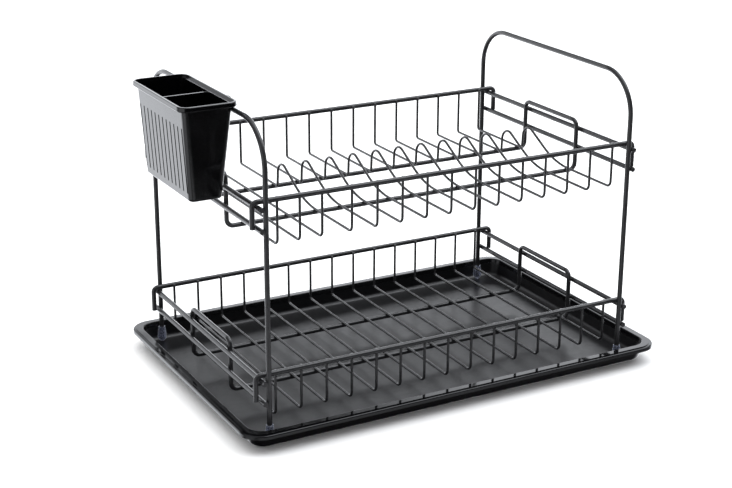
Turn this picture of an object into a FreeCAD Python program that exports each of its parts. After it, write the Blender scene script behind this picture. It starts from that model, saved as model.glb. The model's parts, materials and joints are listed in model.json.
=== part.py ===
import FreeCAD, Part

import math
import os

import Sketcher

# A two-tier dish drying rack in millimetres, +Z up.  The origin is the middle of
# the drip tray's underside.  X runs along the rack, -Y is the front, and the
# cutlery holder hangs outside the left hoop.

DIMENSIONS = {
    # drip tray
    "tray_length": 472.0,
    "tray_depth": 314.5,
    "tray_height": 20.0,
    "tray_corner": 22.0,
    "tray_floor": 2.0,
    "rim_width": 9.5,
    "rim_skirt": 4.8,
    "rim_sheet": 2.6,
    "rim_bead": 6.6,
    "rim_step": 0.8,
    "rim_edge_round": 1.3,
    "mouth_round": 0.9,
    "floor_round": 5.5,
    "foot_round": 8.0,
    "wall_slope": 5.5,
    # wire sizes
    "frame_wire": 5.0,
    "bed_wire": 4.6,
    "dish_wire": 2.6,
    "weld_sink": 0.15,
    "running_gap": 0.3,
    # hoops and cross rods
    "rack_shift": -5.0,
    "leg_span": 400.0,
    "leg_depth": 271.0,
    "hoop_height": 305.7,
    "hoop_bend": 42.0,
    "rod_overhang": 3.0,
    "rod_pitch": 20.0,
    "lower_tier": 61.5,
    "upper_tier": 230.0,
    # foot caps
    "cap_height": 17.0,
    "cap_belly": 4.9,
    "cap_belly_height": 5.7,
    "cap_swell": 5.6,
    "cap_collar": 3.4,
    "cap_sole": 2.4,
    "cap_heel": 3.0,
    # baskets
    "rail_spread": 128.2,
    "hook_drop": 25.0,
    "hook_bend": 5.0,
    "basket_drop": 44.8,
    "bed_spread": 47.0,
    "bed_bend": 7.0,
    "loop_rise": 4.2,
    "dish_bend": 6.0,
    "dish_rear_bend": 3.0,
    "dish_end": 1.2,
    "dish_pitch": 26.9,
    "cup_pitch": 22.7,
    "cup_start": -183.8,
    # plate dividers of the upper basket
    "divider_rear": 35.0,
    "divider_lean": 2.0,
    "divider_peak": 32.9,
    "divider_toe": 27.6,
    "divider_foot_bend": 3.0,
    "divider_crown_bend": 11.6,
    "divider_toe_bend": 92.0,
    # cutlery holder
    "holder_wall": 2.0,
    "holder_top_length": 118.0,
    "holder_top_depth": 49.6,
    "holder_base_length": 111.6,
    "holder_base_depth": 32.7,
    "holder_tall": 90.7,
    "holder_rise": 7.8,
    "holder_stand_off": 0.5,
    "holder_lean": 2.9,
    "holder_forward": 20.3,
    "holder_corner": 6.0,
    "brim_lip": 4.8,
    "brim_flare": 4.2,
    "brim_draft": 0.5,
    "mouth_step": 2.4,
    "slot_width": 2.2,
    "slot_pitch": 9.2,
    "slot_low": 8.0,
    "slot_high": 69.2,
    "partition": 1.6,
    "brim_round": 1.0,
    "base_round": 2.6,
    "catch_radius": 4.3,
    "catch_slot": 2.8,
    "catch_width": 5.0,
    "catch_drop": 9.0,
    "catch_place": 34.5,
    "rest_length": 30.0,
    "rest_depth": 5.0,
}

# two lengths closer than this are taken as equal
TOUCH = 0.01
# how far a rounded outline's corner follows an inward offset
CORNER_FOLLOW = 0.6
DISH_WIRES = 15
CUP_WIRES = 3
HOLDER_SLOTS = 12

Vector = FreeCAD.Vector


class Size:
    """A number kept together with the sheet formula that gives it."""

    def __init__(self, value, formula):
        self.value = value
        self.formula = formula

    def _join(self, other, sign, value):
        text = other.formula if isinstance(other, Size) else repr(other)
        return Size(value, "(" + self.formula + " " + sign + " " + text + ")")

    def __add__(self, other):
        return self._join(other, "+", self.value + number(other))

    def __sub__(self, other):
        return self._join(other, "-", self.value - number(other))

    def __mul__(self, other):
        return self._join(other, "*", self.value * number(other))

    def __truediv__(self, other):
        return self._join(other, "/", self.value / number(other))

    def __neg__(self):
        return self * -1


def number(size):
    return size.value if isinstance(size, Size) else size


class Dimensions:
    """The driving sheet: each alias is an attribute that gives a Size."""

    def __init__(self, doc):
        sheet = doc.addObject("Spreadsheet::Sheet", "Dims")
        for row, (alias, value) in enumerate(DIMENSIONS.items(), start=1):
            sheet.set("A%d" % row, alias)
            sheet.set("B%d" % row, str(value))
            sheet.setAlias("B%d" % row, alias)
            setattr(self, alias, Size(value, "Dims." + alias))


doc = FreeCAD.newDocument("dish_drying_rack")
dims = Dimensions(doc)
doc.recompute()

# places that several pieces share
frame_radius = dims.frame_wire / 2
bed_radius = dims.bed_wire / 2
dish_radius = dims.dish_wire / 2
rod_span = dims.leg_span / 2 + dims.frame_wire - dims.weld_sink
hook_span = rod_span + dims.frame_wire + dims.running_gap
loop_span = rod_span - frame_radius - bed_radius - dims.running_gap
leg_foot = dims.tray_floor + dims.cap_heel
upper_bar_top = dims.hoop_height + frame_radius
lower_rail = dims.lower_tier + dims.frame_wire + dims.running_gap
upper_rail = dims.upper_tier + dims.frame_wire + dims.running_gap
dish_spread = dims.rail_spread - frame_radius - dish_radius + dims.weld_sink


def bind(item, name, size):
    """Tie a property, or one number inside it, to the sheet."""
    item.setExpression(name, size.formula)


def place(item, x=None, y=None, z=None, turn=None):
    """Set a sub-part's Placement and tie each given coordinate to the sheet."""
    spot = Vector(number(x or 0.0), number(y or 0.0), number(z or 0.0))
    item.Placement = FreeCAD.Placement(spot, turn or FreeCAD.Rotation())
    for axis, size in (("x", x), ("y", y), ("z", z)):
        if isinstance(size, Size):
            bind(item, ".Placement.Base." + axis, size)


def new_body(label):
    body = doc.addObject("PartDesign::Body", label)
    body.Label = label
    return body


def new_sketch(body, name, plane, offset=None):
    """A sketch on one of the body's own origin planes, moved along its normal."""
    sketch = body.newObject("Sketcher::SketchObject", name)
    support = [item for item in body.Origin.OriginFeatures if item.Role == plane]
    sketch.AttachmentSupport = [(support[0], "")]
    sketch.MapMode = "FlatFace"
    if offset is not None:
        shift = Vector(0, 0, number(offset))
        sketch.AttachmentOffset = FreeCAD.Placement(shift, FreeCAD.Rotation())
        bind(sketch, ".AttachmentOffset.Base.z", offset)
    return sketch


def constrain(sketch, kind, *where, size=None, name=None):
    """Add a constraint; a Size also ties it to the sheet under a name."""
    if size is None:
        sketch.addConstraint(Sketcher.Constraint(kind, *where))
        return
    index = sketch.addConstraint(Sketcher.Constraint(kind, *where, size.value))
    sketch.renameConstraint(index, name)
    bind(sketch, "Constraints." + name, size)


def pin_point(sketch, geometry, end, name, along, up):
    """Hold one point of a sketch at a place measured from the sketch's origin."""
    for kind, size in (("DistanceX", along), ("DistanceY", up)):
        constrain(sketch, kind, -1, 1, geometry, end, size=size, name=name + kind[-1])


def circle_sketch(body, name, plane, offset, along, up, radius):
    """A wire's round section."""
    sketch = new_sketch(body, name, plane, offset)
    centre = Vector(along.value, up.value, 0)
    sketch.addGeometry(Part.Circle(centre, Vector(0, 0, 1), radius.value))
    constrain(sketch, "Radius", 0, size=radius, name="radius")
    pin_point(sketch, 0, 3, "centre", along, up)
    return sketch


def bent_line(body, name, plane, corners, bends, offset=None):
    """A path of straight runs joined by tangent arcs.

    corners lists (along, up) for each end and each sharp corner, and bends gives
    the radius at each inner corner.  A construction line carries the corners.
    """
    sketch = new_sketch(body, name, plane, offset)
    points = [Vector(along.value, up.value, 0) for along, up in corners]
    count = len(points)
    starts = list(points)
    ends = list(points)
    middles = {}
    for i in range(1, count - 1):
        back = (points[i - 1] - points[i]).normalize()
        ahead = (points[i + 1] - points[i]).normalize()
        half = back.getAngle(ahead) / 2
        radius = bends[i - 1].value
        trim = radius / math.tan(half)
        ends[i] = points[i] + back * trim
        starts[i] = points[i] + ahead * trim
        bisector = (back + ahead).normalize()
        middles[i] = points[i] + bisector * (radius / math.sin(half) - radius)
    # the carrying line, corner to corner
    for i in range(count - 1):
        sketch.addGeometry(Part.LineSegment(points[i], points[i + 1]), True)
        pin_point(sketch, i, 1, "corner%d" % i, *corners[i])
        if i:
            constrain(sketch, "Coincident", i - 1, 2, i, 1)
    pin_point(sketch, count - 2, 2, "corner%d" % (count - 1), *corners[-1])
    # the path itself
    runs = []
    for i in range(count - 1):
        runs.append(sketch.addGeometry(Part.LineSegment(starts[i], ends[i + 1])))
        if i > 0:
            constrain(sketch, "PointOnObject", runs[i], 1, i)
        if i < count - 2:
            constrain(sketch, "PointOnObject", runs[i], 2, i)
    constrain(sketch, "Coincident", runs[0], 1, 0, 1)
    constrain(sketch, "Coincident", runs[-1], 2, count - 2, 2)
    for i in range(1, count - 1):
        arc = Part.Arc(ends[i], middles[i], starts[i])
        index = sketch.addGeometry(arc)
        first, last = (1, 2) if sketch.getPoint(index, 1).isEqual(ends[i], TOUCH) else (2, 1)
        constrain(sketch, "Tangent", runs[i - 1], 2, index, first)
        constrain(sketch, "Tangent", runs[i], 1, index, last)
        constrain(sketch, "Radius", index, size=bends[i - 1], name="bend%d" % i)
    return sketch


def sweep(body, name, section, path):
    pipe = body.newObject("PartDesign::AdditivePipe", name)
    pipe.Profile = section
    pipe.Spine = (path, [])
    return pipe


def upright_wire(label, plane, corners, bends, radius):
    """A round wire bent in one upright plane, starting with an upright run."""
    body = new_body(label)
    path = bent_line(body, label + "_path", plane, corners, bends)
    along, start = corners[0]
    zero = along * 0
    spot = (along, zero) if plane == "XZ_Plane" else (zero, along)
    section = circle_sketch(body, label + "_section", "XY_Plane", start, *spot, radius)
    sweep(body, label + "_wire", section, path)
    return body


def hoop(label, side):
    """An inverted U: two legs and a top bar with large round corners."""
    half = dims.leg_depth / 2
    corners = [(-half, leg_foot), (-half, dims.hoop_height), (half, dims.hoop_height), (half, leg_foot)]
    body = upright_wire(label, "YZ_Plane", corners, [dims.hoop_bend] * 2, frame_radius)
    place(body, x=dims.rack_shift + dims.leg_span * side / 2)


def cross_rod(label, side, height):
    """A straight rod welded on the outer side of a hoop's two legs."""
    rod = doc.addObject("Part::Cylinder", label)
    rod.Label = label
    length = dims.leg_depth + dims.rod_overhang * 2
    bind(rod, "Radius", frame_radius)
    bind(rod, "Height", length)
    turn = FreeCAD.Rotation(Vector(1, 0, 0), 90)
    place(rod, dims.rack_shift + rod_span * side, length / 2, height, turn)


def bulge(start, end, radius):
    """An arc between two points that bows out to the right of the way between them."""
    chord = end - start
    half = chord.Length / 2
    outward = Vector(chord.y, -chord.x, 0).normalize()
    sag = radius - math.sqrt(radius * radius - half * half)
    return Part.Arc(start, (start + end) / 2 + outward * sag, end)


def foot_cap(label, side, end):
    """A clear push-on cap: a narrow collar that swells to a belly and a flat sole."""
    body = new_body(label)
    sketch = new_sketch(body, label + "_outline", "XZ_Plane")
    collar = dims.cap_height
    belly = dims.cap_belly_height
    outline = [
        (frame_radius * 0, frame_radius * 0),
        (dims.cap_sole, frame_radius * 0),
        (dims.cap_belly, belly),
        (dims.cap_collar, collar),
        (frame_radius, collar),
        (frame_radius, dims.cap_heel),
        (frame_radius * 0, dims.cap_heel),
    ]
    spots = [Vector(along.value, up.value, 0) for along, up in outline]
    for i, spot in enumerate(spots):
        follower = spots[(i + 1) % len(spots)]
        if i == 1:
            sketch.addGeometry(bulge(spot, follower, dims.cap_swell.value))
        else:
            sketch.addGeometry(Part.LineSegment(spot, follower))
    for i, (along, up) in enumerate(outline):
        previous = (i - 1) % len(spots)
        first = 1 if sketch.getPoint(i, 1).isEqual(spots[i], TOUCH) else 2
        last = 2 if sketch.getPoint(previous, 2).isEqual(spots[i], TOUCH) else 1
        constrain(sketch, "Coincident", previous, last, i, first)
        if along.value or up.value:
            pin_point(sketch, i, first, "point%d" % i, along, up)
        else:
            constrain(sketch, "Coincident", i, first, -1, 1)
    constrain(sketch, "Radius", 1, size=dims.cap_swell, name="swell")
    turned = body.newObject("PartDesign::Revolution", label + "_turned")
    turned.Profile = sketch
    turned.ReferenceAxis = (sketch, ["V_Axis"])
    turned.Angle = 360.0
    place(
        body,
        dims.rack_shift + dims.leg_span * side / 2,
        dims.leg_depth * end / 2,
        dims.tray_floor,
    )


def rail(label, end, height):
    """A basket's top rail; its ends turn down outside the cross rods as hooks."""
    tip = height - dims.hook_drop
    corners = [(-hook_span, tip), (-hook_span, height), (hook_span, height), (hook_span, tip)]
    body = upright_wire(label, "XZ_Plane", corners, [dims.hook_bend] * 2, frame_radius)
    place(body, x=dims.rack_shift, y=dims.rail_spread * end)


def bed_loop(label, height):
    """Two long bottom wires whose ends rise and join across each basket end."""
    body = new_body(label)
    low = height - dims.basket_drop - dish_radius - bed_radius + dims.weld_sink
    top = height + dims.loop_rise
    joint = (low + top) / 2
    bends = [dims.bed_bend] * 2
    trough = [(-loop_span, joint), (-loop_span, low), (loop_span, low), (loop_span, joint)]
    spread = dims.bed_spread
    arch = [(-spread, joint), (-spread, top), (spread, top), (spread, joint)]

    def long_wire(name, end):
        offset = spread * -end
        path = bent_line(body, label + name + "_path", "XZ_Plane", trough, bends, offset)
        spot = (-loop_span, spread * end)
        section = circle_sketch(body, label + name + "_section", "XY_Plane", joint, *spot, bed_radius)
        sweep(body, label + name, section, path)

    def end_arch(name, side):
        offset = loop_span * side
        path = bent_line(body, label + name + "_path", "YZ_Plane", arch, bends, offset)
        spot = (loop_span * side, -spread)
        section = circle_sketch(body, label + name + "_section", "XY_Plane", joint, *spot, bed_radius)
        sweep(body, label + name, section, path)

    long_wire("_front", -1)
    end_arch("_left", -1)
    end_arch("_right", 1)
    long_wire("_back", 1)
    place(body, x=dims.rack_shift)


def dish_wire(label, across, height):
    """A plain U across the basket, welded to both rails and both bed wires."""
    end = height + dims.dish_end
    flat = height - dims.basket_drop
    corners = [(dish_spread, end), (dish_spread, flat), (-dish_spread, flat), (-dish_spread, end)]
    bends = [dims.dish_rear_bend, dims.dish_bend]
    body = upright_wire(label, "YZ_Plane", corners, bends, dish_radius)
    place(body, x=dims.rack_shift + across)


def divider_wire(label, across, height):
    """A dish wire with a peak that holds a plate: steep behind, sloping in front."""
    end = height + dims.dish_end
    flat = height - dims.basket_drop
    corners = [
        (dish_spread, end),
        (dish_spread, flat),
        (dims.divider_rear, flat),
        (dims.divider_rear - dims.divider_lean, flat + dims.divider_peak),
        (-dims.divider_toe, flat),
        (-dish_spread, flat),
        (-dish_spread, end),
    ]
    bends = [
        dims.dish_rear_bend,
        dims.divider_foot_bend,
        dims.divider_crown_bend,
        dims.divider_toe_bend,
        dims.dish_bend,
    ]
    body = upright_wire(label, "YZ_Plane", corners, bends, dish_radius)
    place(body, x=dims.rack_shift + across)


def rounded_rectangle(body, name, height, length, depth, corner, sketch=None):
    """A rectangle with round corners about the body's axis, at the given height."""
    if sketch is None:
        sketch = new_sketch(body, name, "XY_Plane", height)
    base = len(sketch.Geometry)
    radius = corner.value
    half_x = length.value / 2
    half_y = depth.value / 2
    diagonal = radius * math.sqrt(0.5)
    for i in range(4):
        turn = FreeCAD.Rotation(Vector(0, 0, 1), 90 * i)
        wide, deep = (half_x, half_y) if i % 2 == 0 else (half_y, half_x)
        side = Part.LineSegment(Vector(wide, radius - deep, 0), Vector(wide, deep - radius, 0))
        centre = Vector(wide - radius, deep - radius, 0)
        rounding = Part.Arc(
            centre + Vector(radius, 0, 0),
            centre + Vector(diagonal, diagonal, 0),
            centre + Vector(0, radius, 0),
        )
        for edge in (side, rounding):
            edge.rotate(FreeCAD.Placement(Vector(0, 0, 0), turn))
            sketch.addGeometry(edge)
    prefix = "edge%d_" % base
    for i in range(4):
        line = base + 2 * i
        arc = line + 1
        following = base + (2 * i + 2) % 8
        constrain(sketch, "Tangent", line, 2, arc, 1)
        constrain(sketch, "Tangent", arc, 2, following, 1)
        constrain(sketch, "Vertical" if i % 2 == 0 else "Horizontal", line)
        if i:
            constrain(sketch, "Equal", base + 1, arc)
    constrain(sketch, "Radius", base + 1, size=corner, name=prefix + "corner")
    constrain(sketch, "DistanceX", -1, 1, base, 1, size=length / 2, name=prefix + "right")
    constrain(sketch, "DistanceX", base + 4, 1, -1, 1, size=length / 2, name=prefix + "left")
    constrain(sketch, "DistanceY", -1, 1, base + 2, 1, size=depth / 2, name=prefix + "back")
    constrain(sketch, "DistanceY", base + 6, 1, -1, 1, size=depth / 2, name=prefix + "front")
    return sketch


def pad(body, name, sketch, length, midplane=False, reverse=False):
    feature = body.newObject("PartDesign::Pad", name)
    feature.Profile = sketch
    feature.SideType = "Symmetric" if midplane else "One side"
    feature.Reversed = reverse
    bind(feature, "Length", length)
    return feature


def pocket(body, name, sketch, length, midplane=False, reverse=False):
    """Cut a sketch into the body; the volume has to fall."""
    doc.recompute()
    before = body.Shape.Volume
    feature = body.newObject("PartDesign::Pocket", name)
    feature.Profile = sketch
    feature.SideType = "Symmetric" if midplane else "One side"
    feature.Reversed = reverse
    bind(feature, "Length", length)
    doc.recompute()
    if body.Shape.Volume >= before:
        raise RuntimeError(name + " cuts nothing")
    return feature


def loft(body, kind, name, first, second):
    feature = body.newObject("PartDesign::" + kind, name)
    feature.Profile = first
    feature.Sections = [(second, [""])]
    feature.Ruled = True
    return feature


def edges_at(shape, test):
    """The names of the edges whose every vertex passes the test."""
    names = []
    for i, edge in enumerate(shape.Edges, start=1):
        if all(test(vertex.Point) for vertex in edge.Vertexes):
            names.append("Edge%d" % i)
    return names


def level(point, height):
    return abs(point.z - height.value) < TOUCH


def on_outline(point, length, depth, inset):
    """Whether a point lies on the sides of a centred rectangle, drawn in by the inset."""
    across = length.value / 2 - inset.value - abs(point.x)
    along = depth.value / 2 - inset.value - abs(point.y)
    return abs(across) < TOUCH or abs(along) < TOUCH


def fillet(body, name, base, radius, test):
    """Round every edge whose ends pass the test; the volume has to change."""
    doc.recompute()
    before = body.Shape.Volume
    feature = body.newObject("PartDesign::Fillet", name)
    feature.Base = (base, edges_at(base.Shape, test))
    bind(feature, "Radius", radius)
    doc.recompute()
    if abs(body.Shape.Volume - before) < TOUCH:
        raise RuntimeError(name + " rounds nothing")
    return feature


def drip_tray(label):
    """A shallow tray: flat floor, sloping wall, stepped rim and a turned-down skirt."""
    body = new_body(label)
    length = dims.tray_length
    depth = dims.tray_depth
    top = dims.tray_height

    def outline(name, height, inset, sketch=None):
        corner = dims.tray_corner - inset * CORNER_FOLLOW
        return rounded_rectangle(
            body, name, height, length - inset * 2, depth - inset * 2, corner, sketch
        )

    none = dims.rim_width * 0
    sheet = dims.rim_sheet
    skirt_foot = top - dims.rim_skirt
    wall_top = dims.rim_width - dims.tray_floor
    plate = outline("rim_outline", skirt_foot, none)
    pad(body, "rim_plate", plate, dims.rim_skirt)
    hollow = outline("rim_hollow", skirt_foot, dims.tray_floor)
    outline("rim_hollow", skirt_foot, wall_top, hollow)
    pocket(body, "rim_underside", hollow, dims.rim_skirt - sheet, reverse=True)
    foot = outline("pan_foot", none, wall_top + dims.wall_slope)
    brow = outline("pan_brow", top - sheet, wall_top)
    loft(body, "AdditiveLoft", "pan", foot, brow)
    floor = outline("pan_floor", dims.tray_floor, dims.rim_width + dims.wall_slope)
    mouth = outline("pan_mouth", top, dims.rim_width)
    loft(body, "SubtractiveLoft", "pan_inside", floor, mouth)
    # everything outside the bead round the mouth lies one step lower
    step = outline("step_outline", top, -dims.tray_floor)
    outline("step_outline", top, dims.rim_width - dims.rim_bead, step)
    stepped = pocket(body, "rim_step", step, dims.rim_step)

    rounds = (
        ("rim_edge_rounding", dims.rim_edge_round, top - dims.rim_step, none),
        ("mouth_rounding", dims.mouth_round, top, dims.rim_width),
        ("floor_rounding", dims.floor_round, dims.tray_floor, dims.rim_width + dims.wall_slope),
        ("foot_rounding", dims.foot_round, none, wall_top + dims.wall_slope),
    )
    base = stepped
    for name, radius, height, inset in rounds:
        base = fillet(
            body,
            name,
            base,
            radius,
            lambda point: level(point, height) and on_outline(point, length, depth, inset),
        )


def cutlery_holder(label):
    """A tapered, slotted box with a flared brim and a catch for the left hoop's top bar."""
    body = new_body(label)
    wall = dims.holder_wall
    tall = dims.holder_tall
    zero = wall * 0
    base_length = dims.holder_base_length
    base_depth = dims.holder_base_depth
    top_length = dims.holder_top_length
    top_depth = dims.holder_top_depth
    corner = dims.holder_corner
    # the body's axis stands at the middle of the mouth, its height at the base
    lean = -dims.holder_lean

    def section(name, height, length, depth, radius, shift):
        sketch = new_sketch(body, name, "XY_Plane", height)
        spot = Vector(shift.value, 0, height.value)
        sketch.AttachmentOffset = FreeCAD.Placement(spot, FreeCAD.Rotation())
        bind(sketch, ".AttachmentOffset.Base.x", shift)
        return rounded_rectangle(body, name, height, depth, length, radius, sketch)

    base = section("box_base", zero, base_length, base_depth, corner, lean)
    mouth = section("box_mouth", tall, top_length, top_depth, corner, zero)
    loft(body, "AdditiveLoft", "box", base, mouth)
    flare = dims.brim_flare
    brim_low = tall - dims.brim_lip

    def brim_section(name, height, out):
        return section(name, height, top_length + out * 2, top_depth + out * 2, corner + out, zero)

    hem = brim_section("brim_hem", brim_low, flare)
    crown = brim_section("brim_crown", tall, flare - dims.brim_draft)
    brim = loft(body, "AdditiveLoft", "brim", hem, crown)

    def on_hem(point):
        return level(point, brim_low) and on_outline(point, top_depth, top_length, -flare)

    rounded = fillet(body, "crown_rounding", brim, dims.brim_round, lambda point: level(point, tall))
    rounded = fillet(body, "hem_rounding", rounded, dims.brim_round, on_hem)
    fillet(body, "base_rounding", rounded, dims.base_round, lambda point: level(point, zero))
    # what hangs on the bar: a catch that straddles it and a rest hidden under the brim
    bar = top_depth / 2 + dims.holder_stand_off + frame_radius
    bar_top = tall - dims.holder_rise
    rest = new_sketch(body, "rest_outline", "XZ_Plane")
    rest_near = bar - dims.rest_depth
    polygon(rest, [(rest_near, bar_top), (bar, bar_top), (bar, brim_low), (rest_near, brim_low)])
    pad(body, "rest", rest, dims.rest_length, midplane=True)
    catch = new_sketch(body, "catch_outline", "XZ_Plane", dims.catch_place)
    crest = tall - dims.catch_radius
    tombstone(catch, bar, crest, dims.catch_radius, dims.catch_drop)
    pad(body, "catch", catch, dims.catch_width, midplane=True)
    gap = new_sketch(body, "catch_gap", "XZ_Plane", dims.catch_place)
    tombstone(gap, bar, bar_top - dims.catch_slot, dims.catch_slot, dims.catch_drop)
    pocket(body, "catch_mouth", gap, dims.catch_width * 2, midplane=True)
    # the inside, the partition and the drain slots
    inside = corner - wall
    twice = wall * 2
    floor = section(
        "inside_floor", wall, base_length - twice, base_depth - twice, inside, lean
    )
    opening = section(
        "inside_mouth", tall, top_length - twice, top_depth - twice, inside, zero
    )
    loft(body, "SubtractiveLoft", "inside", floor, opening)
    wide = brim_section("mouth_wide", tall, flare - dims.brim_draft - wall)
    pocket(body, "mouth_widening", wide, dims.mouth_step)
    web = new_sketch(body, "partition_outline", "XZ_Plane")
    sink = wall / 2
    low_half = base_depth / 2 - sink
    high_half = top_depth / 2 - sink
    high = tall - twice
    polygon(web, [
        (lean - low_half, sink),
        (lean + low_half, sink),
        (high_half, high),
        (-high_half, high),
    ])
    pad(body, "partition", web, dims.partition, midplane=True)
    slot = new_sketch(body, "slot_outline", "YZ_Plane")
    first = dims.slot_pitch * (HOLDER_SLOTS - 1) / -2
    half_slot = dims.slot_width / 2
    polygon(slot, [
        (first - half_slot, dims.slot_low),
        (first + half_slot, dims.slot_low),
        (first + half_slot, dims.slot_high),
        (first - half_slot, dims.slot_high),
    ])
    cut = pocket(body, "drain_slot", slot, top_depth * 3, midplane=True)
    pattern = body.newObject("PartDesign::LinearPattern", "drain_slots")
    pattern.Originals = [cut]
    pattern.Direction = (slot, ["H_Axis"])
    pattern.Occurrences = HOLDER_SLOTS
    bind(pattern, "Length", dims.slot_pitch * (HOLDER_SLOTS - 1))
    body.Tip = pattern
    stand = dims.leg_span / 2 + bar
    place(body, dims.rack_shift - stand, -dims.holder_forward, upper_bar_top - bar_top)


def polygon(sketch, corners):
    """A closed outline whose every corner is tied to the sheet."""
    spots = [Vector(along.value, up.value, 0) for along, up in corners]
    count = len(spots)
    for i in range(count):
        sketch.addGeometry(Part.LineSegment(spots[i], spots[(i + 1) % count]))
    for i in range(count):
        constrain(sketch, "Coincident", i, 2, (i + 1) % count, 1)
        pin_point(sketch, i, 1, "corner%d" % i, *corners[i])


def tombstone(sketch, along, up, radius, drop):
    """An upright slab with a half-round head, its head centred at the given spot."""
    middle = Vector(along.value, up.value, 0)
    reach = Vector(radius.value, 0, 0)
    fall = Vector(0, -drop.value, 0)
    crown = Vector(0, radius.value, 0)
    sketch.addGeometry(Part.Arc(middle + reach, middle + crown, middle - reach))
    sketch.addGeometry(Part.LineSegment(middle - reach, middle - reach + fall))
    sketch.addGeometry(Part.LineSegment(middle - reach + fall, middle + reach + fall))
    sketch.addGeometry(Part.LineSegment(middle + reach + fall, middle + reach))
    pin_point(sketch, 0, 3, "middle", along, up)
    constrain(sketch, "Tangent", 0, 2, 1, 1)
    constrain(sketch, "Coincident", 1, 2, 2, 1)
    constrain(sketch, "Coincident", 2, 2, 3, 1)
    constrain(sketch, "Coincident", 3, 2, 0, 1)
    constrain(sketch, "Vertical", 1)
    constrain(sketch, "Horizontal", 2)
    constrain(sketch, "Vertical", 3)
    constrain(sketch, "Radius", 0, size=radius, name="radius")
    constrain(sketch, "DistanceY", 1, 2, 1, 1, size=drop, name="drop")


def build():
    drip_tray("drip_tray")
    for side_name, side in (("left", -1), ("right", 1)):
        hoop(side_name + "_end_hoop", side)
        for tier, level in (("lower", dims.lower_tier), ("upper", dims.upper_tier)):
            cross_rod("%s_%s_seat_rod" % (side_name, tier), side, level)
            cross_rod("%s_%s_stay_rod" % (side_name, tier), side, level - dims.rod_pitch)
        for end_name, end in (("front", -1), ("back", 1)):
            foot_cap("%s_%s_foot_cap" % (end_name, side_name), side, end)
    for tier, height in (("lower", lower_rail), ("upper", upper_rail)):
        rail(tier + "_front_rail", -1, height)
        rail(tier + "_back_rail", 1, height)
        bed_loop(tier + "_bed_loop", height)
    last = dims.dish_pitch * (DISH_WIRES - 1) / 2
    for i in range(DISH_WIRES):
        across = last - dims.dish_pitch * (DISH_WIRES - 1 - i)
        dish_wire("lower_dish_wire_%02d" % (i + 1), across, lower_rail)
        name = "upper_dish_wire_%02d" % (i + 1)
        if i < CUP_WIRES:
            dish_wire(name, dims.cup_start + dims.cup_pitch * i, upper_rail)
        else:
            divider_wire(name, across, upper_rail)
    cutlery_holder("cutlery_holder")


def sub_parts():
    inside = set()
    for item in doc.Objects:
        if item.TypeId == "PartDesign::Body":
            inside.update(member.Name for member in item.OutListRecursive)
    kinds = ("PartDesign::Body", "Part::Cylinder")
    return [item for item in doc.Objects if item.TypeId in kinds and item.Name not in inside]


build()
doc.recompute()
for item in doc.Objects:
    if "Invalid" in item.State or "Error" in item.State:
        raise RuntimeError(item.Name + " failed: " + ", ".join(item.State))
parts = sub_parts()
for item in parts:
    if item.Shape.isNull() or not item.Shape.isValid() or len(item.Shape.Solids) != 1:
        raise RuntimeError(item.Label + " is not one valid solid")
os.makedirs("parts", exist_ok=True)
for item in parts:
    item.Shape.exportStep(os.path.join("parts", item.Label + ".step"))
print(len(parts), "sub-parts written")
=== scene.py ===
"""Two-tier dish drying rack: materials, clear foot caps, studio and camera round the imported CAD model.

Lengths are in metres, with +Z up, unless a comment says otherwise.
"""
import json
import math

import bmesh
import bpy
from mathutils import Matrix, Vector


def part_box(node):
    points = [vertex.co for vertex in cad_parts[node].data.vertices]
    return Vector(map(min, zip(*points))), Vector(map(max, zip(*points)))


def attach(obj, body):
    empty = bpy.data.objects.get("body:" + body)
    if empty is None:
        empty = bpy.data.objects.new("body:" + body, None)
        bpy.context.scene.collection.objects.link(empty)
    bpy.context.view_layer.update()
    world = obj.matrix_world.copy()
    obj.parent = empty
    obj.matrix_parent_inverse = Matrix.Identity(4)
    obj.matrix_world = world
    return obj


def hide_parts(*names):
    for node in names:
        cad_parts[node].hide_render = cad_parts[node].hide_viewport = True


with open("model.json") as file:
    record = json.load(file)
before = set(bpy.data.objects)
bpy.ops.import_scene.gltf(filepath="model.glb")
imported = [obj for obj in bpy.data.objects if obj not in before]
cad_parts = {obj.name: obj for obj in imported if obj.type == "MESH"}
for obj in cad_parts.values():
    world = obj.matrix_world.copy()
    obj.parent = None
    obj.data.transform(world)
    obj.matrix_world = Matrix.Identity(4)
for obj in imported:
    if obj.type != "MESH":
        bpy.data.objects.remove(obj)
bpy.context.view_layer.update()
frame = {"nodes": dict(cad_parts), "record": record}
NODES = frame["nodes"]

MM = 0.001

# The camera: its place and the point it looks at, its roll in degrees, and its sensor and
# lens. Lengths are in millimetres.
CAMERA_AT = (-760.3, -1339.0, 667.9)
CAMERA_AIM = (-56.1, -48.25, 145.07)
CAMERA_ROLL = 0.22
SENSOR_WIDTH = 36.0
LENS = 77.36
# The nearest and the furthest that it sees.
CLIP_START = 0.05
CLIP_END = 50.0

# The floor, a hair under the tray so that the two never share a plane.
FLOOR_HALF = 12.0
FLOOR_DROP = 0.0002
FLOOR_FIBRES = 300.0
FLOOR_DARKER = (0.96, 0.96, 0.96)
FLOOR_LIGHTER = (1.0, 1.0, 1.0)
FLOOR_ROUGH = 0.9

# In the materials below, clouds, waves, grain, scuffs and haze are noise, in features per
# metre, tones are the darkest and lightest shares of a colour, spreads are how far the
# roughness strays below and above its value, and depths are those of bumps.

# How strongly each finer layer of a noise shows.
NOISE_ROUGH = 0.55

# Powder paint on the wire.
WIRE_COLOUR = (0.020, 0.020, 0.0213)
FRAME_WIRE_ROUGH = 0.20
DISH_WIRE_ROUGH = 0.21
COAT_CLOUDS = 60.0
COAT_GRAIN = 900.0
COAT_TONES = (0.75, 1.35)
COAT_SPREAD = (0.05, 0.07)
COAT_CLOUD_DEPTH = 0.00005
COAT_GRAIN_DEPTH = 0.00003

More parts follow.
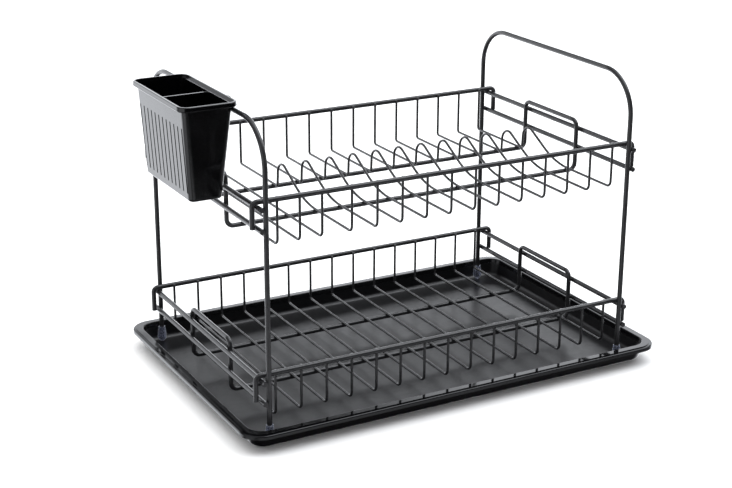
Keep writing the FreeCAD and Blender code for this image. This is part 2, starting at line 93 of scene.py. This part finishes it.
# Both black plastics.
PLASTIC_TONES = (0.85, 1.2)

# The cutlery holder's plastic.
HOLDER_COLOUR = (0.0012, 0.0012, 0.0015)
HOLDER_IOR = 1.62
HOLDER_ROUGH = 0.12
HOLDER_SPREAD = (0.04, 0.05)
HOLDER_WAVES = 14.0
HOLDER_GRAIN = 1400.0
HOLDER_WAVE_DEPTH = 0.00015
HOLDER_GRAIN_DEPTH = 0.000003

# The tray's plastic. Its finish changes from the pan's to the rim's over a short height
# where the wall turns into the rim.
TRAY_COLOUR = (0.004, 0.004, 0.0045)
TRAY_IOR = 1.44
RIM_STARTS = 0.0145
RIM_FADE = 0.003
RIM_ROUGH = 0.07
RIM_SPREAD = (0.02, 0.03)
PAN_ROUGH = 0.31
PAN_SPREAD = (0.03, 0.04)
TRAY_WAVES = 11.0
TRAY_SCUFFS = 220.0
TRAY_WAVE_DEPTH = 0.00025
TRAY_SCUFF_DEPTH = 0.0000015

# The foot caps' clear plastic.
CAP_HAZE = 500.0
CAP_DARKER = (0.66, 0.70, 0.88)
CAP_LIGHTER = (0.72, 0.76, 0.92)
CAP_SMOOTHEST = 0.03
CAP_ROUGHEST = 0.07
CAP_TRANSMISSION = 0.9
CAP_IOR = 1.42
CAP_SHEEN = 1.0
CAP_SHEEN_ROUGH = 0.3
CAP_SHEEN_TINT = (0.86, 0.92, 1.0, 1.0)
CAP_HAZE_DEPTH = 0.000004


def new_material(name):
    """A material with a bare node tree, its shader and its output."""
    made = bpy.data.materials.new(name)
    made.use_nodes = True
    tree = made.node_tree
    tree.nodes.clear()
    shader = tree.nodes.new("ShaderNodeBsdfPrincipled")
    output = tree.nodes.new("ShaderNodeOutputMaterial")
    tree.links.new(shader.outputs["BSDF"], output.inputs["Surface"])
    return made, tree, shader


def add(tree, kind, settings=None, inputs=None):
    """A node of this kind, with its own settings and the values or links of its inputs."""
    made = tree.nodes.new(kind)
    for key, value in (settings or {}).items():
        setattr(made, key, value)
    for key, value in (inputs or {}).items():
        if isinstance(value, bpy.types.NodeSocket):
            tree.links.new(value, made.inputs[key])
        else:
            made.inputs[key].default_value = value
    return made


def noise(tree, scale, detail=3.0):
    """Noise over the object's own coordinates, in features per metre."""
    where = add(tree, "ShaderNodeTexCoord")
    made = add(
        tree,
        "ShaderNodeTexNoise",
        inputs={
            "Vector": where.outputs["Object"],
            "Scale": scale,
            "Detail": detail,
            "Roughness": NOISE_ROUGH,
        },
    )
    return made.outputs["Fac"]


def between(tree, factor, low, high, start=0.3, end=0.7):
    """A value from low to high as the factor goes from start to end.

    The start and end given here suit noise, whose values lie mostly between them.
    """
    made = add(
        tree,
        "ShaderNodeMapRange",
        inputs={
            "Value": factor,
            "From Min": start,
            "From Max": end,
            "To Min": low,
            "To Max": high,
        },
    )
    return made.outputs["Result"]


def mixed(tree, factor, first, second):
    """A colour between two colours."""
    made = add(
        tree,
        "ShaderNodeMix",
        {"data_type": "RGBA"},
        {"Factor": factor, "A": (*first, 1.0), "B": (*second, 1.0)},
    )
    return made.outputs["Result"]


def bump(tree, shader, layers):
    """Bumps on the shader: each layer is a height and its depth in metres."""
    below = None
    for height, depth in layers:
        inputs = {"Height": height, "Distance": depth, "Strength": 1.0}
        if below is not None:
            inputs["Normal"] = below
        below = add(tree, "ShaderNodeBump", inputs=inputs).outputs["Normal"]
    tree.links.new(below, shader.inputs["Normal"])


def mottle(tree, shader, factor, colour, tones):
    """Colours the shader from a colour's darkest share to its lightest, by a noise factor."""
    dark, light = (tuple(tone * part for part in colour) for tone in tones)
    blend = mixed(tree, between(tree, factor, 0.0, 1.0), dark, light)
    tree.links.new(blend, shader.inputs["Base Color"])


def uneven(tree, factor, rough, spread):
    """A roughness that strays below and above its value, by a noise factor."""
    below, above = spread
    return between(tree, factor, rough - below, rough + above)


def powder_coat(name, rough):
    """Black powder paint on steel wire: soft gloss and a fine orange peel."""
    made, tree, shader = new_material(name)
    cloud = noise(tree, COAT_CLOUDS)
    grain = noise(tree, COAT_GRAIN, detail=2.0)
    mottle(tree, shader, cloud, WIRE_COLOUR, COAT_TONES)
    tree.links.new(uneven(tree, grain, rough, COAT_SPREAD), shader.inputs["Roughness"])
    bump(tree, shader, [(cloud, COAT_CLOUD_DEPTH), (grain, COAT_GRAIN_DEPTH)])
    return made


def holder_plastic():
    """The holder's moulded black plastic: glossy, with slow waves and a fine spark texture."""
    made, tree, shader = new_material("holder_plastic")
    shader.inputs["IOR"].default_value = HOLDER_IOR
    slow = noise(tree, HOLDER_WAVES, detail=2.0)
    grain = noise(tree, HOLDER_GRAIN, detail=2.0)
    mottle(tree, shader, slow, HOLDER_COLOUR, PLASTIC_TONES)
    tree.links.new(uneven(tree, slow, HOLDER_ROUGH, HOLDER_SPREAD), shader.inputs["Roughness"])
    bump(tree, shader, [(slow, HOLDER_WAVE_DEPTH), (grain, HOLDER_GRAIN_DEPTH)])
    return made


def tray_plastic():
    """The tray's moulded black plastic: polished on the rim, satin in the pan, with slow waves."""
    made, tree, shader = new_material("tray_plastic")
    shader.inputs["IOR"].default_value = TRAY_IOR
    slow = noise(tree, TRAY_WAVES, detail=2.0)
    scuff = noise(tree, TRAY_SCUFFS, detail=4.0)
    where = add(tree, "ShaderNodeTexCoord")
    height = add(tree, "ShaderNodeSeparateXYZ", inputs={"Vector": where.outputs["Object"]})
    on_rim = between(tree, height.outputs["Z"], 0.0, 1.0, RIM_STARTS, RIM_STARTS + RIM_FADE)
    satin = uneven(tree, scuff, PAN_ROUGH, PAN_SPREAD)
    polished = uneven(tree, scuff, RIM_ROUGH, RIM_SPREAD)
    rough = add(
        tree,
        "ShaderNodeMix",
        {"data_type": "FLOAT"},
        {"Factor": on_rim, "A": satin, "B": polished},
    )
    tree.links.new(rough.outputs["Result"], shader.inputs["Roughness"])
    mottle(tree, shader, slow, TRAY_COLOUR, PLASTIC_TONES)
    bump(tree, shader, [(slow, TRAY_WAVE_DEPTH), (scuff, TRAY_SCUFF_DEPTH)])
    return made


def clear_plastic():
    """Clear soft plastic, a little milky, with a cold tint."""
    made, tree, shader = new_material("cap_plastic")
    haze = noise(tree, CAP_HAZE)
    tree.links.new(mixed(tree, haze, CAP_DARKER, CAP_LIGHTER), shader.inputs["Base Color"])
    rough = between(tree, haze, CAP_SMOOTHEST, CAP_ROUGHEST)
    tree.links.new(rough, shader.inputs["Roughness"])
    shader.inputs["Transmission Weight"].default_value = CAP_TRANSMISSION
    shader.inputs["Sheen Weight"].default_value = CAP_SHEEN
    shader.inputs["Sheen Roughness"].default_value = CAP_SHEEN_ROUGH
    shader.inputs["Sheen Tint"].default_value = CAP_SHEEN_TINT
    shader.inputs["IOR"].default_value = CAP_IOR
    bump(tree, shader, [(haze, CAP_HAZE_DEPTH)])
    return made


# What the gloss sees. Each light has its brightness and the cuts that bound it in the sky:
# the azimuth, from +Y towards +X, and the elevation of an axis, and the angles from that
# axis where the light is out and where it is full, all in degrees.
UP = (0.0, 90.0)
# The axis of the great circle along which the board behind ends.
EDGE = (234.3, 62.6)
GLOSS_LIGHTS = [
    # A large board behind.
    (2.35, [(12.0, 0.0, 84.0, 58.0), (*EDGE, 88.7, 91.3), (*UP, 132.0, 128.0)]),
    # A strip of near floor in front.
    (0.85, [(150.0, 0.0, 85.0, 60.0), (*UP, 111.5, 115.0), (*UP, 134.0, 127.0)]),
    # A board overhead.
    (0.95, [(*UP, 56.0, 28.0)]),
    # A board on the left.
    (0.9, [(-100.0, 0.0, 44.0, 26.0), (*UP, 131.0, 119.0), (*UP, 54.0, 66.0)]),
    # A bright lamp, high on the right.
    (3.2, [(97.0, 54.0, 34.0, 20.0)]),
    # A small lamp behind on the left, on the other side of the great circle.
    (2.2, [(-18.0, 17.0, 23.0, 14.0), (*EDGE, 91.3, 88.7)]),
]
GLOSS_BASE = 0.01
GLOSS_TINT = (0.93, 0.955, 1.0, 1.0)
# The light that falls on matt surfaces: an even part, and a broad high one from behind,
# cut as the gloss lights are.
EVEN = 0.55
BROAD = 2.15
BROAD_CUT = (12.0, 50.0, 80.0, 8.0)
# The white that the camera sees behind the rack, and through the clear caps.
SWEEP = 1.0
WHITE = (1.0, 1.0, 1.0, 1.0)


def ramp(tree, value, start, end, low, high):
    """A soft step from low to high as the value goes from start to end."""
    made = add(
        tree,
        "ShaderNodeMapRange",
        {"interpolation_type": "SMOOTHSTEP"},
        {"Value": value, "From Min": start, "From Max": end, "To Min": low, "To Max": high},
    )
    return made.outputs["Result"]


def calculate(tree, operation, first, second):
    """What an operation, such as ADD or MULTIPLY, makes of two values."""
    made = add(tree, "ShaderNodeMath", {"operation": operation}, {0: first, 1: second})
    return made.outputs["Value"]


def cut(tree, way, azimuth, elevation, out, full):
    """One for a direction at the full angle from an axis or past it, fading to nothing at out."""
    turn = math.radians(azimuth)
    rise = math.radians(elevation)
    axis = (math.sin(turn) * math.cos(rise), math.cos(turn) * math.cos(rise), math.sin(rise))
    across = add(tree, "ShaderNodeVectorMath", {"operation": "DOT_PRODUCT"}, {0: way, 1: axis})
    start = math.cos(math.radians(out))
    end = math.cos(math.radians(full))
    if start < end:
        return ramp(tree, across.outputs["Value"], start, end, 0.0, 1.0)
    return ramp(tree, across.outputs["Value"], end, start, 1.0, 0.0)


def background(tree, colour, strength):
    """A plain background shader."""
    made = add(tree, "ShaderNodeBackground", inputs={"Color": colour, "Strength": strength})
    return made.outputs["Background"]


def choice(tree, factor, first, second):
    """The first shader where the factor is 0, and the second where it is 1."""
    made = add(tree, "ShaderNodeMixShader", inputs={"Fac": factor, 1: first, 2: second})
    return made.outputs["Shader"]


def light_world():
    """A white sweep for the camera, soft light for matt surfaces and pale boards for the gloss."""
    world = bpy.data.worlds.new("studio_world")
    bpy.context.scene.world = world
    world.use_nodes = True
    tree = world.node_tree
    tree.nodes.clear()
    way = add(tree, "ShaderNodeTexCoord").outputs["Generated"]
    gloss_light = GLOSS_BASE
    for power, cuts in GLOSS_LIGHTS:
        part = power
        for limits in cuts:
            part = calculate(tree, "MULTIPLY", part, cut(tree, way, *limits))
        gloss_light = calculate(tree, "ADD", gloss_light, part)
    broad = calculate(tree, "MULTIPLY", BROAD, cut(tree, way, *BROAD_CUT))
    matt_light = calculate(tree, "ADD", EVEN, broad)
    gloss = background(tree, GLOSS_TINT, gloss_light)
    matt = background(tree, WHITE, matt_light)
    sweep = background(tree, WHITE, SWEEP)
    ray = add(tree, "ShaderNodeLightPath")
    bounced = choice(tree, ray.outputs["Is Diffuse Ray"], gloss, matt)
    through = choice(tree, ray.outputs["Is Transmission Ray"], bounced, sweep)
    seen = choice(tree, ray.outputs["Is Camera Ray"], through, sweep)
    output = add(tree, "ShaderNodeOutputWorld")
    tree.links.new(seen, output.inputs["Surface"])


def make_camera():
    """The camera of the photograph's view."""
    data = bpy.data.cameras.new("camera")
    data.sensor_fit = "HORIZONTAL"
    data.sensor_width = SENSOR_WIDTH
    data.lens = LENS
    data.clip_start = CLIP_START
    data.clip_end = CLIP_END
    camera = bpy.data.objects.new("camera", data)
    bpy.context.scene.collection.objects.link(camera)
    place = Vector(CAMERA_AT) * MM
    ahead = (Vector(CAMERA_AIM) * MM - place).normalized()
    side = ahead.cross(Vector((0, 0, 1))).normalized()
    up = side.cross(ahead)
    roll = math.radians(CAMERA_ROLL)
    right = side * math.cos(roll) + up * math.sin(roll)
    top = up * math.cos(roll) - side * math.sin(roll)
    turn = Matrix((right, top, -ahead)).transposed()
    camera.matrix_world = Matrix.Translation(place) @ turn.to_4x4()
    bpy.context.scene.camera = camera


def make_floor():
    """The pale floor."""
    half = FLOOR_HALF
    corners = [(-half, -half, 0), (half, -half, 0), (half, half, 0), (-half, half, 0)]
    mesh = bpy.data.meshes.new("floor")
    mesh.from_pydata(corners, [], [(0, 1, 2, 3)])
    floor = bpy.data.objects.new("floor", mesh)
    bpy.context.scene.collection.objects.link(floor)
    floor.location.z = -FLOOR_DROP
    made, tree, shader = new_material("floor_paper")
    paper = mixed(tree, noise(tree, FLOOR_FIBRES), FLOOR_DARKER, FLOOR_LIGHTER)
    tree.links.new(paper, shader.inputs["Base Color"])
    shader.inputs["Roughness"].default_value = FLOOR_ROUGH
    shader.inputs["Specular IOR Level"].default_value = 0.0
    mesh.materials.append(made)
    floor.visible_glossy = False


def dress(material, *nodes):
    """Gives CAD nodes a material."""
    for name in nodes:
        mesh = NODES[name].data
        mesh.materials.clear()
        mesh.materials.append(material)


def slot_nodes(slot):
    """The CAD nodes of one material slot of the record."""
    return [part["node"] for part in frame["record"]["subparts"] if part["material_slot"] == slot]


# A foot cap's section, in millimetres from its axis and its sole: up the outside to the
# mouth, over the lip, and down the bore with a little air round the leg.
CAP_SECTION = [
    (0.0, 0.0), (1.0, 0.05), (1.9, 0.4), (3.0, 1.5), (4.1, 3.2), (4.75, 4.8), (4.9, 5.9),
    (4.75, 7.6), (4.35, 10.4), (3.85, 13.4), (3.55, 15.3), (3.62, 16.0), (3.6, 16.6),
    (3.3, 17.0), (2.95, 16.85), (2.82, 16.2), (2.78, 12.0), (2.78, 5.0), (2.7, 3.3),
    (2.3, 2.92), (0.0, 2.85),
]
CAP_SIDES = 48


def turned(name, section, x, y, z):
    """A closed shape turned about the upright line through a point."""
    shape = bmesh.new()
    rings = []
    for radius, height in section:
        if radius == 0.0:
            rings.append([shape.verts.new((x, y, z + height * MM))])
            continue
        ring = []
        for i in range(CAP_SIDES):
            turn = 2.0 * math.pi * i / CAP_SIDES
            across = x + radius * MM * math.cos(turn)
            along = y + radius * MM * math.sin(turn)
            ring.append(shape.verts.new((across, along, z + height * MM)))
        rings.append(ring)
    for lower, upper in zip(rings, rings[1:]):
        for i in range(CAP_SIDES):
            j = (i + 1) % CAP_SIDES
            if len(lower) == 1:
                shape.faces.new((lower[0], upper[j], upper[i]))
            elif len(upper) == 1:
                shape.faces.new((lower[i], lower[j], upper[0]))
            else:
                shape.faces.new((lower[i], lower[j], upper[j], upper[i]))
    bmesh.ops.recalc_face_normals(shape, faces=shape.faces)
    mesh = bpy.data.meshes.new(name)
    shape.to_mesh(mesh)
    shape.free()
    mesh.polygons.foreach_set("use_smooth", [True] * len(mesh.polygons))
    made = bpy.data.objects.new(name, mesh)
    bpy.context.scene.collection.objects.link(made)
    return made


def make_caps(material):
    """Clear foot caps with a bore and a rounded lip, in place of the plain ones."""
    for node in slot_nodes("cap"):
        low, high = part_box(node)
        x = (low[0] + high[0]) / 2
        y = (low[1] + high[1]) / 2
        cap = turned(node + "_clear", CAP_SECTION, x, y, low[2])
        cap.data.materials.append(material)
        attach(cap, "rack_frame")
        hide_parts(node)


bpy.context.scene.view_settings.view_transform = "Standard"
make_camera()
make_floor()
light_world()
dress(powder_coat("wire_powder_coat", FRAME_WIRE_ROUGH), *slot_nodes("frame_wire"))
dress(powder_coat("dish_wire_coat", DISH_WIRE_ROUGH), *slot_nodes("dish_wire"))
dress(tray_plastic(), "drip_tray")
dress(holder_plastic(), "cutlery_holder")
make_caps(clear_plastic())
